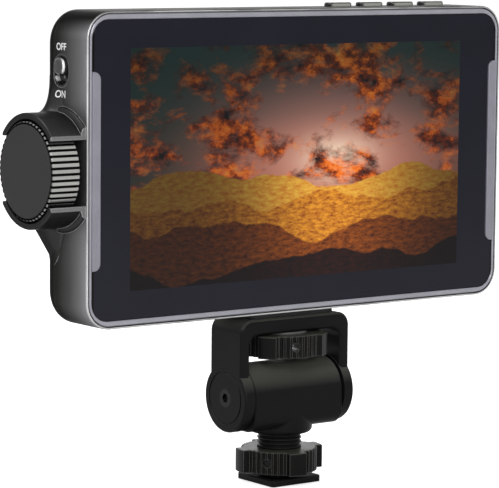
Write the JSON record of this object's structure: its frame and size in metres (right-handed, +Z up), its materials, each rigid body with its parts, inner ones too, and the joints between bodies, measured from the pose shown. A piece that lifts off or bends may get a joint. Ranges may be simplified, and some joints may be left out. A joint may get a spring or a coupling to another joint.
{
  "type": "camera field monitor",
  "caption": "Flat video monitor with a guarded side dial, power slide and top buttons, on a tilting yoke mount with a thumb wheel screw and a locking shoe foot.",
  "frame": {"origin": "middle of the underside of the shoe foot", "axes": "+X to the right of somebody facing the screen, +Y away from them, +Z up along the mount"},
  "size_m": [0.1646, 0.0352, 0.1429],
  "materials": {
    "housing": "satin",
    "frame": "satin",
    "trim": "satin",
    "cover_glass": "polished",
    "picture": "glossy",
    "inner_metal": "sheet",
    "inner_plastic": "matte",
    "circuit_board": "solder mask",
    "ribbon": "film",
    "mount_black": "black anodised",
    "wheel_black": "black anodised",
    "dark_steel": "blackened",
    "steel": "plain",
    "brass": "plain",
    "pad_rubber": "matte",
    "dial_silver": "knurled",
    "dial_dark": "matte",
    "button_plastic": "matte",
    "knob_plastic": "satin",
    "socket_metal": "tinned",
    "socket_plastic": "moulded",
    "plate_plastic": "moulded",
    "contact_gold": "plated",
    "sensor_window": "dark"
  },
  "bodies": {
    "foot_base": {"shoe_foot": "mount_black", "foot_screw": "dark_steel", "threaded_neck": "mount_black", "tilt_barrel": "mount_black", "tilt_friction_washers": "inner_plastic", "tilt_screws": "dark_steel"},
    "clamp_washer": {"clamp_washer": "inner_plastic"},
    "lock_wheel": {"lock_wheel": "wheel_black", "lock_wheel_set_screw": "dark_steel"},
    "yoke": {"yoke": "mount_black", "yoke_cover_discs": "mount_black", "yoke_pad": "pad_rubber"},
    "thumb_washer": {"thumb_washer": "inner_plastic"},
    "thumb_wheel": {"thumb_wheel": "wheel_black", "mount_screw": "steel", "thumb_wheel_set_screw": "steel"},
    "dial_plunger": {"encoder_plunger": "inner_plastic"},
    "dial": {"dial_core": "dial_dark", "dial_knurled_ring": "dial_silver", "dial_face_disc": "dial_dark", "encoder_shaft": "steel"},
    "power_switch": {"power_switch_knob": "knob_plastic"},
    "battery_latch": {"battery_latch": "plate_plastic"},
    "top_button_1": {"top_button_1": "button_plastic"},
    "top_button_2": {"top_button_2": "button_plastic"},
    "top_button_3": {"top_button_3": "button_plastic"},
    "top_button_4": {"top_button_4": "button_plastic"},
    "monitor": {"main_housing": "housing", "front_frame": "frame", "cover_glass": "cover_glass", "left_trim": "trim", "right_trim": "trim", "display_panel": "picture", "backlight_unit": "inner_plastic", "chassis_plate": "inner_metal", "main_board": "circuit_board", "board_screws": "steel", "heat_spreader": "inner_metal", "panel_ribbon": "ribbon", "thread_insert": "brass", "dial_encoder": "inner_plastic", "switch_bezel": "knob_plastic", "switch_module": "inner_plastic", "button_board": "circuit_board", "press_switches": "inner_plastic", "light_sensor_window": "sensor_window", "hdmi_input_socket": "socket_metal", "hdmi_output_socket": "socket_metal", "usb_socket": "socket_metal", "headphone_socket": "socket_plastic", "power_socket": "socket_plastic", "rear_cover": "housing", "rear_cover_screws": "dark_steel", "battery_plate": "plate_plastic", "battery_plate_screws": "dark_steel", "battery_contacts": "contact_gold", "latch_spring": "steel"}
  },
  "joints": [
    {"name": "clamp_slide", "type": "slide", "parent": "foot_base", "child": "clamp_washer", "axis": [0, 0, 1], "range_m": [-0.001, 0.0018]},
    {"name": "lock_wheel_turn", "type": "hinge", "parent": "clamp_washer", "child": "lock_wheel", "pos_m": [0, 0, 0.0068], "axis": [0, 0, 1], "range_deg": [-289, 520]},
    {"name": "tilt", "type": "hinge", "parent": "foot_base", "child": "yoke", "pos_m": [0, 0, 0.0267], "axis": [1, 0, 0], "range_deg": [-90, 90]},
    {"name": "thumb_washer_slide", "type": "slide", "parent": "yoke", "child": "thumb_washer", "axis": [0, 0, 1], "range_m": [-0.0017, 0]},
    {"name": "thumb_wheel_turn", "type": "hinge", "parent": "thumb_washer", "child": "thumb_wheel", "pos_m": [0, 0, 0.0419], "axis": [0, 0, 1], "range_deg": [-483, 0]},
    {"name": "pan", "type": "hinge", "parent": "yoke", "child": "monitor", "pos_m": [0, 0, 0.0523], "axis": [0, 0, 1], "range_deg": [-180, 180]},
    {"name": "dial_press", "type": "slide", "parent": "monitor", "child": "dial_plunger", "axis": [1, 0, 0], "range_m": [0, 0.0008], "stiffness_N_per_m": 1500, "springref_m": -0.0004},
    {"name": "dial_turn", "type": "hinge", "parent": "dial_plunger", "child": "dial", "pos_m": [-0.0832, 0.0027, 0.09685], "axis": [1, 0, 0], "continuous": true},
    {"name": "power_slide", "type": "slide", "parent": "monitor", "child": "power_switch", "axis": [0, 0, 1], "range_m": [-0.0026, 0]},
    {"name": "latch_slide", "type": "slide", "parent": "monitor", "child": "battery_latch", "axis": [0, 0, 1], "range_m": [-0.0016, 0], "stiffness_N_per_m": 900, "springref_m": 0.0005, "deforming": ["latch_spring"]},
    {"name": "top_button_1_press", "type": "slide", "parent": "monitor", "child": "top_button_1", "axis": [0, 0, 1], "range_m": [-0.0005, 0], "stiffness_N_per_m": 1500, "springref_m": 0.0002},
    {"name": "top_button_2_press", "type": "slide", "parent": "monitor", "child": "top_button_2", "axis": [0, 0, 1], "range_m": [-0.0005, 0], "stiffness_N_per_m": 1500, "springref_m": 0.0002},
    {"name": "top_button_3_press", "type": "slide", "parent": "monitor", "child": "top_button_3", "axis": [0, 0, 1], "range_m": [-0.0005, 0], "stiffness_N_per_m": 1500, "springref_m": 0.0002},
    {"name": "top_button_4_press", "type": "slide", "parent": "monitor", "child": "top_button_4", "axis": [0, 0, 1], "range_m": [-0.0005, 0], "stiffness_N_per_m": 1500, "springref_m": 0.0002}
  ],
  "couplings": [
    {"joint": "lock_wheel_turn", "follows": "clamp_slide", "rad_per_m": 5026.5},
    {"joint": "thumb_wheel_turn", "follows": "thumb_washer_slide", "rad_per_m": 4947.4}
  ]
}
